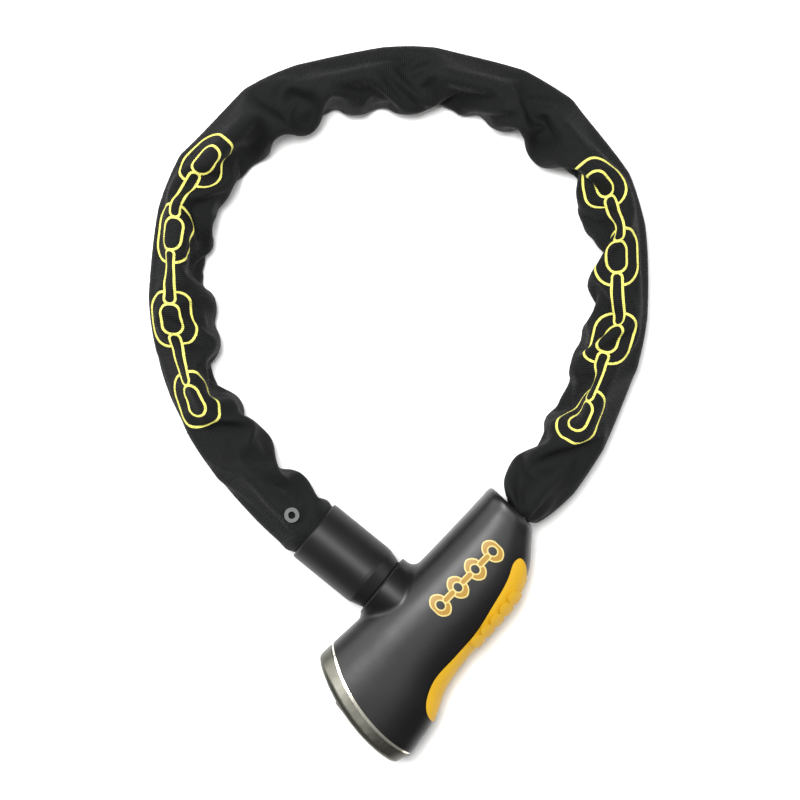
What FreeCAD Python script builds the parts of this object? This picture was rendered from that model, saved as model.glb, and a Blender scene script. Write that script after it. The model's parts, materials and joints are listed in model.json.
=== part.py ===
import FreeCAD, Part
import os
from math import atan2, cos, degrees, hypot, pi, radians, sin, sqrt
from FreeCAD import Placement, Rotation, Vector

# A chain lock lying closed on a table: a moulded head with a cylinder lock, a steel chain
# inside a fabric sleeve, and a ferrule on the chain's free end that plugs into the head.
#
# Everything is drawn in the head's own frame, in millimetres: x runs along the head towards
# the chain's mouth, y to the side that takes the ferrule, z up from the table. At the end the
# whole lock is turned by HEAD_HEADING and centred over the origin.

# Head
HEAD_HEADING = 46.0           # degrees from the lock's +X
HEAD_AXIS_Z = 19.0            # height of the head's middle, and of its chain and port axes
HEAD_HALF_HEIGHT = 19.5       # a little more than the axis height, so the underside has a flat
SECTION_POWER = 3.0           # 2 is an ellipse, more is squarer
MOUTH_X = 70.8                # end face that the chain comes out of
MOUTH_ROUND = 2.2             # rounding around that face
# side edges in plan, (x, y), from the butt to the mouth
LEFT_EDGE = [(-70, 29.0), (-40, 27.5), (-21, 26.4), (0, 25.2), (17, 24.5), (50, 24.6), (71, 25.0)]
RIGHT_EDGE = [(-70, -38.8), (-52, -38.0), (-41, -36.9), (-31, -34.4), (-19, -28.8), (-8, -26.2),
              (4, -25.0), (26, -24.4), (40, -22.8), (53, -17.8), (61, -11.9), (66, -7.4), (71, -3.4)]
CASING_WALL = 2.5
CORE_GAP = 0.2                # between the casing's inside and the steel core

# Butt: the casing ends on a wide arc, and a domed steel cap closes it
BUTT_CENTRE = (36.3, -20.3)
BUTT_RADIUS = 90.0
RIM_THICKNESS = 1.5           # polished ring between casing and cap
RIM_INSET = 0.5
CAP_THICKNESS = 8.5           # from the casing's end to the top of the dome, rim included
CAP_ROUND = 3.0

# Boss and port that take the ferrule
PORT_FACE = (-2.6, 30.0)      # centre of the boss's face
PORT_LEAN = 4.91              # degrees that the port axis leans from +y towards -x
BOSS_RADIUS = 17.0
BOSS_ROOT = 16.0              # how far behind its face the boss starts, inside the head
BOSS_FILLET = 5.0             # rounding where the boss meets the head
SEAL_THICKNESS = 0.75
SEAL_GAP = 0.15               # between the seal and the ferrule
STUD_RADIUS = 7.0
STUD_CLEARANCE = 0.3
LINER_WALL = 2.0
LINER_LENGTH = 12.0
STUD_REACH = 31.0             # from the boss's face to the stud's tip
PORT_DEPTH = 33.0
GROOVE_START = 19.2           # groove that the locking plate enters, from the boss's face
GROOVE_WIDTH = 5.8
NECK_RADIUS = 4.4
STUD_CHAMFER = 2.0

# Chain
STOCK = 8.0                   # thickness of the round bar
LINK_INNER_LENGTH = 33.0
LINK_INNER_WIDTH = 10.0
LINK_PLAY = 0.3               # slack where one link pulls on the next
LINK_COUNT = 21               # odd links lie flat, even ones stand on edge
FIRST_LINK_TIP = 66.7         # outer end of the first link, behind the mouth's face
# pin in the head that holds the first link, as thick as the link's bar
PIN_RADIUS = STOCK / 2
ANCHOR = (FIRST_LINK_TIP - STOCK / 2 + LINK_PLAY - LINK_INNER_LENGTH, 5.5)
LOOP_Z = 16.6                 # height of the chain's middle away from the head
DROP_LINKS = 6                # links over which the chain comes down to that height
# direction of each link in plan, degrees from the lock's +X, as it lies in a loop
LINK_HEADINGS = [46, 47, 56, 67, 79, 91, 107, 128, 149, 166, 180, 192, 205, 226, 248, 264, 278,
                 291, 304, 317, 320.9]

# Ferrule
FERRULE_PIN_AT = 29.0         # the last link's cross pin, from the boss's face
LINK_CLEARANCE = 1.4          # beside a link in its bore
LINK_BORE_SLACK = 1.8         # past the last link's end
# chamber for the last link, from the boss's face
LINK_BORE_START = FERRULE_PIN_AT - PIN_RADIUS - STOCK - LINK_BORE_SLACK
LINK_BORE_RADIUS = LINK_INNER_WIDTH / 2 + STOCK + LINK_CLEARANCE
CORE_WALL = 1.0               # of the steel core round that chamber
COLLAR_WALL = 1.1
FERRULE_RADIUS = LINK_BORE_RADIUS + CORE_WALL + COLLAR_WALL
FERRULE_NOSE_RADIUS = 14.6
FERRULE_NOSE_LENGTH = 8.0
FERRULE_LENGTH = 43.0
COLLAR_FACE = 2.4             # thickness of the collar's front face
COLLAR_BACK_ROUND = 1.2
CORE_NOSE_RADIUS = 9.0
FERRULE_CORE_END = 36.0       # back end of the steel core, from the boss's face
STUD_ROOT_RADIUS = 6.0
STUD_ROOT_END = 13.5

# Sleeve: one rigid section on each standing link
SLEEVE_RADIUS = 16.6
SLEEVE_WALL = 1.0
SLEEVE_GAP = 5.0              # between sections, so that the chain can bend
NECK_HALF_WIDTH = 10.2        # where the sleeve goes into the mouth
NECK_HALF_HEIGHT = 16.2
NECK_LENGTH = 12.0
MOUTH_GAP = 1.5
FERRULE_GAP = 2.6
EYELET_RADIUS = 3.7
EYELET_HOLE = 1.8
EYELET_LIP = 0.9
EYELET_BACK = 13.0            # from the ferrule's back face

# Anchor chamber in the head
CHAMBER_SIDE = 1.2            # room beside the first link
CHAMBER_HEADROOM = 1.0        # above and below it
LINK_CHAMBER_RADIUS = LINK_INNER_WIDTH / 2 + STOCK + CHAMBER_SIDE
LINK_CHAMBER_HALF_HEIGHT = STOCK / 2 + CHAMBER_HEADROOM
MOUTH_SIDE = 3.0              # room beside the second link, which stands in the mouth
MOUTH_HALF_WIDTH = STOCK / 2 + MOUTH_SIDE
MOUTH_HALF_HEIGHT = LINK_INNER_WIDTH / 2 + STOCK + LINK_CLEARANCE
MOUTH_CORNER = 4.0
MOUTH_BACK_ROOM = 2.9         # behind the second link
MOUTH_INNER_X = FIRST_LINK_TIP - 2 * STOCK - LINK_PLAY - MOUTH_BACK_ROOM
ANCHOR_PIN_HALF_LENGTH = 14.0

# Cylinder, with its axis along the head
CYLINDER_Y = -5.0
BARREL_RADIUS = 11.0
BARREL_FRONT = -58.0
BARREL_BACK = -17.0
BARREL_END_WALL = 3.0
PLUG_RADIUS = 7.5
PLUG_BORE_RADIUS = 6.3
TURN_CLEARANCE = 0.05
PLUG_FACE = 1.6
TAIL_RADIUS = 4.0
TAIL_BACK = -14.2
DISC_RADIUS = 6.2
DISC_THICKNESS = 1.7
DISC_PITCH = 2.2
DISC_COUNT = 12
GUARD_THICKNESS = 2.0
KEYWAY_RADIUS = 3.6           # half-round keyway
KEYWAY_FLAT = 0.35            # from the axis to the keyway's flat
BAR_THICKNESS = 1.6
BAR_INNER = 5.5
BAR_OUTER = 7.3
BAR_GAP = 0.2

# Turning cover over the keyway, in a flat pocket in the cap
COVER_RADIUS = 9.5
COVER_THICKNESS = 1.4
COVER_NOTCH_RADIUS = 1.4
POCKET_RADIUS = 11.2
COVER_RING_THICKNESS = 1.0
COVER_RING_LAP = 1.0

# Locking plate, driven by a pin on the plug
PLATE_Y = 8.0
PLATE_THICKNESS = 3.6
PLATE_HALF_HEIGHT = 10.5
PLATE_FRONT = 10.5
PLATE_BACK = -13.2
PLATE_HOLE_CLEARANCE = 0.5
LUG_THICKNESS = 3.0
LUG_END_Y = -9.4
LUG_HALF_HEIGHT = 5.5
CRANK_RADIUS = 2.0            # the drive pin's distance from the plug's axis
CRANK_PIN_RADIUS = 1.9
CRANK_SLOT_CLEARANCE = 0.2
PLATE_GAP = 0.4

# Grip pad, laid into the casing's right side
PAD_THICKNESS = 1.7
PAD_PROUD = 0.45
PAD_GAP = 0.1
# its inner edge in plan, (x, y), from the butt end to the mouth end
PAD_EDGE = [(-33.0, -33.5), (-30.5, -27.5), (-24.0, -22.6), (-15.0, -19.8), (-6.0, -19.6), (4.0, -19.4),
            (15.0, -18.6), (27.0, -15.9), (38.0, -13.3), (47.0, -10.0), (52.4, -7.9), (55.2, -8.7),
            (55.1, -12.4), (52.4, -16.4), (49.5, -20.0)]
RIDGE_COUNT = 5
RIDGE_FIRST_X = 11.5
RIDGE_PITCH = 7.0
RIDGE_HEIGHT = 1.0
RIDGE_WIDTH = 5.0

# Screws that hold the lower casing to the core
SCREW_PLACES = [(40.0, -5.0), (40.0, 17.5), (-30.0, 17.5), (-41.0, -23.0)]
SCREW_RADIUS = 2.0
SCREW_HEAD_RADIUS = 3.6
SCREW_HEAD_THICKNESS = 2.4
SCREW_SINK = 0.6              # screw head below the casing's surface
SCREW_TOP = 13.0

FAR = 200.0                   # longer than any piece, for tools that cut right through


# ---------------------------------------------------------------- geometry helpers

def between(points, x):
    """The smooth line through hand-chosen (x, y) points, read at x."""
    last = len(points) - 1
    i = max(j for j in range(last) if points[j][0] <= x or j == 0)
    slopes = []
    for j in (i, i + 1):
        a, b = points[max(j - 1, 0)], points[min(j + 1, last)]
        slopes.append((b[1] - a[1]) / (b[0] - a[0]))
    (x0, y0), (x1, y1) = points[i], points[i + 1]
    width = x1 - x0
    t = (x - x0) / width
    rise = (2 * t**3 - 3 * t**2 + 1) * y0 + (3 * t**2 - 2 * t**3) * y1
    return rise + width * ((t**3 - 2 * t**2 + t) * slopes[0] + (t**3 - t**2) * slopes[1])


def closed_curve(points):
    """A wire of one smooth closed curve through the points."""
    curve = Part.BSplineCurve()
    curve.interpolate(Points=points, PeriodicFlag=True)
    return Part.Wire([curve.toShape()])


def oval(centre, across, half_wide, half_high, power, count=24):
    """A closed curve about a centre: across is the level direction of its half width."""
    points = []
    for step in range(count):
        turn = 2 * pi * step / count
        size = (abs(cos(turn)) ** power + abs(sin(turn)) ** power) ** (-1 / power)
        side = Vector(across).multiply(half_wide * size * cos(turn))
        points.append(centre + side + Vector(0, 0, half_high * size * sin(turn)))
    return closed_curve(points)


def cylinder(radius, start, axis, length):
    return Part.makeCylinder(radius, length, start, axis)


def box(x, y, z):
    """A box from three (low, high) pairs."""
    return Part.makeBox(x[1] - x[0], y[1] - y[0], z[1] - z[0], Vector(x[0], y[0], z[0]))


def along_x(radius, start, end, y=CYLINDER_Y, z=HEAD_AXIS_Z):
    return cylinder(radius, Vector(start, y, z), Vector(1, 0, 0), end - start)


PORT_OUT = Vector(-sin(radians(PORT_LEAN)), cos(radians(PORT_LEAN)), 0)
PORT_CENTRE = Vector(PORT_FACE[0], PORT_FACE[1], HEAD_AXIS_Z)


def on_port(distance):
    """The point on the port's axis at a distance outwards from the boss's face."""
    return PORT_CENTRE + Vector(PORT_OUT).multiply(distance)


def about_port(profile):
    """The solid swept by a closed (distance, radius) outline turned about the port's axis."""
    across = Vector(PORT_OUT.y, -PORT_OUT.x, 0)
    points = [on_port(s) + Vector(across).multiply(r) for s, r in profile]
    face = Part.Face(Part.makePolygon(points + points[:1]))
    return face.revolve(PORT_CENTRE, PORT_OUT, 360)


def butt_disc(radius):
    """Everything within a radius of the butt's centre line."""
    foot = Vector(BUTT_CENTRE[0], BUTT_CENTRE[1], -FAR / 2)
    return Part.makeCylinder(radius, FAR, foot)


# ---------------------------------------------------------------- head body

HEAD_STATIONS = [-66, -54, -46, -38, -31, -25, -19, -13, -6, 4, 16, 28, 40, 48, 54, 60, 65]


def head_body(inset):
    """The head's outer form, smaller all round by inset, running out past the butt."""
    mouth_round = MOUTH_ROUND - inset if inset < MOUTH_ROUND - 1 else 1.0
    mouth_x = MOUTH_X - inset
    stations = [(x, 0.0) for x in HEAD_STATIONS]
    for turn in (0, 30, 55, 75, 90):
        shrink = mouth_round * (1 - cos(radians(turn)))
        stations.append((mouth_x - mouth_round * (1 - sin(radians(turn))), shrink))
    wires = []
    for x, shrink in stations:
        left = between(LEFT_EDGE, x) - inset - shrink
        right = between(RIGHT_EDGE, x) + inset + shrink
        centre = Vector(x, (left + right) / 2, HEAD_AXIS_Z)
        half_high = HEAD_HALF_HEIGHT - inset - shrink
        wires.append(oval(centre, Vector(0, 1, 0), (left - right) / 2, half_high, SECTION_POWER))
    return Part.makeLoft(wires, True, False)


def on_table(shape):
    """The shape with anything below the table taken off."""
    return shape.common(box((-FAR, FAR), (-FAR, FAR), (0, FAR)))


def casing_form():
    """The outside of both shells together: the head with the boss blended into it."""
    boss = cylinder(BOSS_RADIUS, on_port(-BOSS_ROOT), PORT_OUT, BOSS_ROOT)
    form = head_body(0).common(butt_disc(BUTT_RADIUS)).fuse(boss).removeSplitter()
    rounds = [f for f in form.Faces if f.Surface.TypeId == "Part::GeomCylinder"]
    side = [f for f in rounds if abs(f.Surface.Radius - BOSS_RADIUS) < 0.01][0]
    flanks = [f for f in form.Faces if f.Surface.TypeId == "Part::GeomBSplineSurface"]
    join = [e for e in side.Edges if any(e.isSame(o) for f in flanks for o in f.Edges)]
    return form.makeFillet(BOSS_FILLET, join)


def mouth_tool():
    """The opening that the chain passes through."""
    y = (ANCHOR[1] - MOUTH_HALF_WIDTH, ANCHOR[1] + MOUTH_HALF_WIDTH)
    z = (HEAD_AXIS_Z - MOUTH_HALF_HEIGHT, HEAD_AXIS_Z + MOUTH_HALF_HEIGHT)
    tool = box((MOUTH_INNER_X, MOUTH_X + 10), y, z)
    return tool.makeFillet(MOUTH_CORNER, [e for e in tool.Edges if abs(e.tangentAt(0).x) > 0.9])


def link_chamber():
    """The flat chamber that the first link lies and swings in."""
    low = HEAD_AXIS_Z - LINK_CHAMBER_HALF_HEIGHT
    height = 2 * LINK_CHAMBER_HALF_HEIGHT
    reach = LINK_INNER_LENGTH - STOCK - 2 * LINK_PLAY
    y = (ANCHOR[1] - LINK_CHAMBER_RADIUS, ANCHOR[1] + LINK_CHAMBER_RADIUS)
    chamber = box((ANCHOR[0], ANCHOR[0] + reach), y, (low, low + height))
    for x in (ANCHOR[0], ANCHOR[0] + reach):
        chamber = chamber.fuse(Part.makeCylinder(LINK_CHAMBER_RADIUS, height, Vector(x, ANCHOR[1], low)))
    return chamber.removeSplitter()


def pad_region(gap):
    """The stretch of the right side that the grip pad covers, gap wider all round."""
    points = []
    for i, (x, y) in enumerate(PAD_EDGE):
        a, b = PAD_EDGE[max(i - 1, 0)], PAD_EDGE[min(i + 1, len(PAD_EDGE) - 1)]
        reach = gap / hypot(b[0] - a[0], b[1] - a[1])
        points.append(Vector(x - reach * (b[1] - a[1]), y + reach * (b[0] - a[0]), 0))
    edge = Part.BSplineCurve()
    edge.interpolate(Points=points)
    low = Vector(points[0].x, -60, 0)
    high = Vector(points[-1].x, -60, 0)
    sides = [Part.makeLine(points[-1], high), Part.makeLine(high, low), Part.makeLine(low, points[0])]
    return Part.Face(Part.Wire([edge.toShape()] + sides)).extrude(Vector(0, 0, FAR))


def ridge_tool():
    """Upright bumps along the pad's side, one for each finger gap."""
    bumps = []
    for i in range(RIDGE_COUNT):
        x = RIDGE_FIRST_X + i * RIDGE_PITCH
        side = between(RIGHT_EDGE, x) - PAD_PROUD
        radius = (RIDGE_WIDTH**2 / 4 + RIDGE_HEIGHT**2) / (2 * RIDGE_HEIGHT)
        bumps.append(Part.makeCylinder(radius, FAR, Vector(x, side - RIDGE_HEIGHT + radius, 0)))
    return bumps[0].multiFuse(bumps[1:])


def casing_underside(x, y):
    """Height of the casing's underside at a point in plan."""
    left, right = between(LEFT_EDGE, x), between(RIGHT_EDGE, x)
    u = abs(y - (left + right) / 2) / ((left - right) / 2)
    return max(0.0, HEAD_AXIS_Z - HEAD_HALF_HEIGHT * (1 - u**SECTION_POWER) ** (1 / SECTION_POWER))


def screw_tool():
    """Shank holes with a wider seat for each screw's head."""
    holes = []
    for x, y in SCREW_PLACES:
        seat = casing_underside(x, y) + SCREW_SINK + SCREW_HEAD_THICKNESS
        holes.append(Part.makeCylinder(SCREW_RADIUS, SCREW_TOP + 1, Vector(x, y, -1)))
        holes.append(Part.makeCylinder(SCREW_HEAD_RADIUS, seat + 1, Vector(x, y, -1)))
    return holes[0].multiFuse(holes[1:])


def casing_halves():
    """Two moulded shells, parted level with the axis, with the pad's bed and the boss."""
    port_hole = cylinder(STUD_RADIUS + STUD_CLEARANCE + LINER_WALL, on_port(-PORT_DEPTH), PORT_OUT, FAR)
    hollow = head_body(CASING_WALL)
    bed = pad_region(PAD_GAP).cut(head_body(PAD_THICKNESS + PAD_GAP))
    shell = on_table(casing_form()).cut(hollow).cut(bed).cut(port_hole).cut(mouth_tool())
    shell = shell.cut(screw_tool())
    above = box((-FAR, FAR), (-FAR, FAR), (HEAD_AXIS_Z, FAR))
    below = box((-FAR, FAR), (-FAR, FAR), (-1, HEAD_AXIS_Z))
    return shell.common(above), shell.common(below)


def grip_pad():
    outer = head_body(-PAD_PROUD)
    bumps = ridge_tool().common(head_body(-PAD_PROUD - RIDGE_HEIGHT))
    pad = outer.fuse(bumps).common(pad_region(0)).cut(head_body(PAD_THICKNESS))
    return on_table(pad).removeSplitter()


def butt_layer(inner, outer, inset):
    """A slice of the head's form between two radii of the butt."""
    layer = head_body(inset).common(butt_disc(outer)).cut(butt_disc(inner))
    return on_table(layer).common(box((-FAR, 0), (-FAR, FAR), (-1, FAR)))


def cap_rim():
    rim = butt_layer(BUTT_RADIUS, BUTT_RADIUS + RIM_THICKNESS, RIM_INSET)
    return rim.cut(along_x(BARREL_RADIUS + TURN_CLEARANCE, -FAR, BARREL_BACK))


def end_cap():
    cap = butt_layer(BUTT_RADIUS + RIM_THICKNESS, BUTT_RADIUS + CAP_THICKNESS, 0)
    dome_edges = []
    for edge in cap.Edges:
        box_ = edge.BoundBox
        corner = Vector((box_.XMin + box_.XMax) / 2, (box_.YMin + box_.YMax) / 2, 0)
        middle = edge.valueAt((edge.FirstParameter + edge.LastParameter) / 2)
        reach = hypot(middle.x - BUTT_CENTRE[0], middle.y - BUTT_CENTRE[1])
        if abs(reach - BUTT_RADIUS - CAP_THICKNESS) < 0.05 and corner.x < BARREL_BACK:
            dome_edges.append(edge)
    cap = cap.makeFillet(CAP_ROUND, dome_edges)
    cap = cap.cut(along_x(POCKET_RADIUS, -FAR, BARREL_FRONT))
    return cap.cut(along_x(BARREL_RADIUS + TURN_CLEARANCE, -FAR, BARREL_BACK))


def lock_core():
    """The hardened block that holds the cylinder, the port, the plate and the anchor pin."""
    core = head_body(CASING_WALL + CORE_GAP).common(butt_disc(BUTT_RADIUS))
    core = core.cut(box((-FAR, FAR), (-FAR, FAR), (-FAR, CASING_WALL)))
    core = core.cut(along_x(BARREL_RADIUS + TURN_CLEARANCE, -FAR, BARREL_BACK))
    core = core.cut(along_x(TAIL_RADIUS + 1, BARREL_BACK - 1, PLATE_BACK))
    core = core.cut(cylinder(STUD_RADIUS + STUD_CLEARANCE, on_port(-PORT_DEPTH), PORT_OUT, FAR))
    core = core.cut(cylinder(STUD_RADIUS + STUD_CLEARANCE + LINER_WALL, on_port(-LINER_LENGTH), PORT_OUT, FAR))
    core = core.cut(link_chamber()).cut(mouth_tool())
    throw = 2 * CRANK_RADIUS * sin(pi / 4)
    half = PLATE_THICKNESS / 2 + PLATE_GAP
    top = HEAD_AXIS_Z + PLATE_HALF_HEIGHT + throw + PLATE_GAP
    core = core.cut(box((PLATE_BACK - PLATE_GAP, PLATE_FRONT + PLATE_GAP), (PLATE_Y - half, PLATE_Y + half), (0, top)))
    lug_top = HEAD_AXIS_Z + LUG_HALF_HEIGHT + throw + PLATE_GAP
    lug_x = (PLATE_BACK - PLATE_GAP, PLATE_BACK + LUG_THICKNESS + PLATE_GAP)
    core = core.cut(box(lug_x, (LUG_END_Y - PLATE_GAP, PLATE_Y), (0, lug_top)))
    pin_low = Vector(ANCHOR[0], ANCHOR[1], HEAD_AXIS_Z - ANCHOR_PIN_HALF_LENGTH)
    core = core.cut(Part.makeCylinder(PIN_RADIUS, 2 * ANCHOR_PIN_HALF_LENGTH, pin_low))
    return core.cut(screw_tool())


def port_liner():
    outer = cylinder(STUD_RADIUS + STUD_CLEARANCE + LINER_WALL, on_port(-LINER_LENGTH), PORT_OUT, LINER_LENGTH)
    return outer.cut(cylinder(STUD_RADIUS + STUD_CLEARANCE, on_port(-LINER_LENGTH), PORT_OUT, LINER_LENGTH))


def port_seal():
    outer = cylinder(FERRULE_NOSE_RADIUS - 0.2, on_port(0), PORT_OUT, SEAL_THICKNESS)
    return outer.cut(cylinder(STUD_RADIUS + STUD_CLEARANCE, on_port(-1), PORT_OUT, FAR))


def anchor_pin():
    low = Vector(ANCHOR[0], ANCHOR[1], HEAD_AXIS_Z - ANCHOR_PIN_HALF_LENGTH)
    return Part.makeCylinder(PIN_RADIUS, 2 * ANCHOR_PIN_HALF_LENGTH, low)


def casing_screws():
    screws = []
    for x, y in SCREW_PLACES:
        low = casing_underside(x, y) + SCREW_SINK
        head = Part.makeCylinder(SCREW_HEAD_RADIUS - 0.1, SCREW_HEAD_THICKNESS, Vector(x, y, low))
        socket = Part.makeCylinder(1.4, 1.4, Vector(x, y, low))
        shank = Part.makeCylinder(SCREW_RADIUS, SCREW_TOP - low, Vector(x, y, low))
        screws.append(head.fuse(shank).removeSplitter().cut(socket))
    return Part.makeCompound(screws)


# ---------------------------------------------------------------- cylinder and locking plate

def keyway(start, end, turned=0):
    """A half-round hole along the plug's axis; turned is its angle about that axis."""
    hole = along_x(KEYWAY_RADIUS, start, end)
    y = (CYLINDER_Y - KEYWAY_RADIUS, CYLINDER_Y + KEYWAY_RADIUS)
    hole = hole.common(box((start, end), y, (HEAD_AXIS_Z + KEYWAY_FLAT, HEAD_AXIS_Z + KEYWAY_RADIUS)))
    hole.rotate(Vector(0, CYLINDER_Y, HEAD_AXIS_Z), Vector(1, 0, 0), turned)
    return hole


def bar_slot(start, end, grow):
    half = BAR_THICKNESS / 2 + grow
    z = (HEAD_AXIS_Z - BAR_OUTER - 1, HEAD_AXIS_Z - BAR_INNER + grow)
    return box((start, end), (CYLINDER_Y - half, CYLINDER_Y + half), z)


PLUG_FRONT = BARREL_FRONT + 0.3
PLUG_BACK = BARREL_BACK - BARREL_END_WALL - 0.2
BAR_START = PLUG_FRONT + PLUG_FACE + GUARD_THICKNESS + 1.0
BAR_END = BAR_START + DISC_COUNT * DISC_PITCH


def cylinder_barrel():
    barrel = along_x(BARREL_RADIUS, BARREL_FRONT, BARREL_BACK)
    barrel = barrel.cut(along_x(PLUG_RADIUS + TURN_CLEARANCE, BARREL_FRONT - 1, BARREL_BACK - BARREL_END_WALL))
    return barrel.cut(along_x(TAIL_RADIUS + TURN_CLEARANCE, -FAR, 0))


def cylinder_plug():
    """The turning plug, with a tail through the barrel and an off-centre drive pin."""
    plug = along_x(PLUG_RADIUS, PLUG_FRONT, PLUG_BACK)
    plug = plug.cut(along_x(PLUG_BORE_RADIUS, PLUG_FRONT + PLUG_FACE, PLUG_BACK - 2))
    plug = plug.cut(keyway(PLUG_FRONT - 1, PLUG_FRONT + PLUG_FACE + 1))
    plug = plug.cut(bar_slot(BAR_START, BAR_END, BAR_GAP))
    tail = along_x(TAIL_RADIUS, PLUG_BACK - 1, TAIL_BACK)
    y = CYLINDER_Y + CRANK_RADIUS * cos(pi / 4)
    z = HEAD_AXIS_Z - CRANK_RADIUS * sin(pi / 4)
    pin = along_x(CRANK_PIN_RADIUS, TAIL_BACK - 1, PLATE_BACK + LUG_THICKNESS, y, z)
    return plug.fuse(tail).fuse(pin).removeSplitter()


def drill_guard():
    start = PLUG_FRONT + PLUG_FACE
    guard = along_x(DISC_RADIUS, start, start + GUARD_THICKNESS)
    return guard.cut(keyway(start - 1, start + GUARD_THICKNESS + 1))


def detainer_discs():
    discs = []
    for i in range(DISC_COUNT):
        start = BAR_START + 0.2 + i * DISC_PITCH
        disc = along_x(DISC_RADIUS, start, start + DISC_THICKNESS)
        disc = disc.cut(keyway(start - 1, start + DISC_THICKNESS + 1))
        discs.append(disc.cut(bar_slot(start - 1, start + DISC_THICKNESS + 1, BAR_GAP)))
    return Part.makeCompound(discs)


def side_bar():
    half = BAR_THICKNESS / 2
    z = (HEAD_AXIS_Z - BAR_OUTER, HEAD_AXIS_Z - BAR_INNER)
    return box((BAR_START + 0.2, BAR_END - 0.2), (CYLINDER_Y - half, CYLINDER_Y + half), z)


def keyway_cover():
    """A disc with the keyway's shape, turned half way round so that it covers the keyway."""
    start = BARREL_FRONT - 0.1 - COVER_THICKNESS
    cover = along_x(COVER_RADIUS, start, start + COVER_THICKNESS)
    cover = cover.cut(keyway(start - 1, start + COVER_THICKNESS + 1, 180))
    for side in (-1, 1):
        y = CYLINDER_Y + side * (COVER_RADIUS - COVER_RING_LAP - COVER_NOTCH_RADIUS - 0.6)
        cover = cover.cut(along_x(COVER_NOTCH_RADIUS, start - 1, start + COVER_THICKNESS / 2, y))
    return cover


def cover_ring():
    """The ring pressed into the cap's pocket that keeps the cover in."""
    back = BARREL_FRONT
    lip = back - COVER_THICKNESS - 0.2
    ring = along_x(POCKET_RADIUS, lip - COVER_RING_THICKNESS, back)
    ring = ring.cut(along_x(COVER_RADIUS + TURN_CLEARANCE, lip, back + 1))
    return ring.cut(along_x(COVER_RADIUS - COVER_RING_LAP, -FAR, back))


def locking_plate():
    """A plate across the port, with a lug whose slot the plug's drive pin lifts."""
    half = PLATE_THICKNESS / 2
    z = (HEAD_AXIS_Z - PLATE_HALF_HEIGHT, HEAD_AXIS_Z + PLATE_HALF_HEIGHT)
    plate = box((PLATE_BACK, PLATE_FRONT), (PLATE_Y - half, PLATE_Y + half), z)
    lug_z = (HEAD_AXIS_Z - LUG_HALF_HEIGHT, HEAD_AXIS_Z + LUG_HALF_HEIGHT)
    plate = plate.fuse(box((PLATE_BACK, PLATE_BACK + LUG_THICKNESS), (LUG_END_Y, PLATE_Y), lug_z))
    plate = plate.cut(cylinder(STUD_RADIUS + PLATE_HOLE_CLEARANCE, on_port(-FAR / 2), PORT_OUT, FAR))
    slot_half = CRANK_PIN_RADIUS + CRANK_SLOT_CLEARANCE
    slot_z = HEAD_AXIS_Z - CRANK_RADIUS * sin(pi / 4)
    slot_y = (CYLINDER_Y + CRANK_RADIUS * cos(pi / 4) - slot_half, CYLINDER_Y + CRANK_RADIUS + slot_half)
    slot = box((PLATE_BACK - 1, PLATE_BACK + LUG_THICKNESS + 1), slot_y, (slot_z - slot_half, slot_z + slot_half))
    return plate.removeSplitter().cut(slot)


# ---------------------------------------------------------------- ferrule

FERRULE_FRONT = SEAL_THICKNESS + SEAL_GAP
FERRULE_BACK = FERRULE_FRONT + FERRULE_LENGTH
COLLAR_BORE = FERRULE_RADIUS - COLLAR_WALL
CORE_START = FERRULE_FRONT + COLLAR_FACE


def ferrule_collar():
    shoulder = FERRULE_FRONT + FERRULE_NOSE_LENGTH
    bore_nose = FERRULE_NOSE_RADIUS - COLLAR_WALL
    back_round = []
    for turn in (0, 30, 60, 90):
        drop = COLLAR_BACK_ROUND * (1 - cos(radians(turn)))
        back_round.append((FERRULE_BACK - COLLAR_BACK_ROUND * (1 - sin(radians(turn))), FERRULE_RADIUS - drop))
    profile = [(FERRULE_FRONT, CORE_NOSE_RADIUS), (FERRULE_FRONT, FERRULE_NOSE_RADIUS - 0.6),
               (FERRULE_FRONT + 0.6, FERRULE_NOSE_RADIUS), (shoulder - 1.0, FERRULE_RADIUS - 0.12),
               (shoulder + 1.0, FERRULE_RADIUS)] + back_round
    profile += [(FERRULE_BACK, LINK_BORE_RADIUS), (FERRULE_CORE_END, LINK_BORE_RADIUS),
                (FERRULE_CORE_END, COLLAR_BORE), (shoulder, COLLAR_BORE),
                (CORE_START, bore_nose), (CORE_START, CORE_NOSE_RADIUS)]
    return about_port(profile)


def ferrule_core():
    shoulder = FERRULE_FRONT + FERRULE_NOSE_LENGTH
    bore_nose = FERRULE_NOSE_RADIUS - COLLAR_WALL
    profile = [(FERRULE_FRONT, 0), (FERRULE_FRONT, CORE_NOSE_RADIUS), (CORE_START, CORE_NOSE_RADIUS),
               (CORE_START, bore_nose), (shoulder, COLLAR_BORE), (FERRULE_CORE_END, COLLAR_BORE),
               (FERRULE_CORE_END, LINK_BORE_RADIUS), (LINK_BORE_START, LINK_BORE_RADIUS), (LINK_BORE_START, 0)]
    core = about_port(profile)
    core = core.cut(cylinder(STUD_ROOT_RADIUS, on_port(0), PORT_OUT, STUD_ROOT_END))
    return core.cut(ferrule_pin())


def ferrule_stud():
    groove_end = -GROOVE_START - GROOVE_WIDTH
    profile = [(STUD_ROOT_END, 0), (STUD_ROOT_END, STUD_ROOT_RADIUS), (FERRULE_FRONT, STUD_ROOT_RADIUS),
               (FERRULE_FRONT, STUD_RADIUS), (-GROOVE_START, STUD_RADIUS), (-GROOVE_START, NECK_RADIUS),
               (groove_end, NECK_RADIUS), (groove_end, STUD_RADIUS), (-STUD_REACH + STUD_CHAMFER, STUD_RADIUS),
               (-STUD_REACH, STUD_RADIUS - STUD_CHAMFER), (-STUD_REACH, 0)]
    return about_port(profile)


def ferrule_pin():
    half = sqrt(COLLAR_BORE**2 - PIN_RADIUS**2)
    return Part.makeCylinder(PIN_RADIUS, 2 * half, on_port(FERRULE_PIN_AT) - Vector(0, 0, half))


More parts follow.
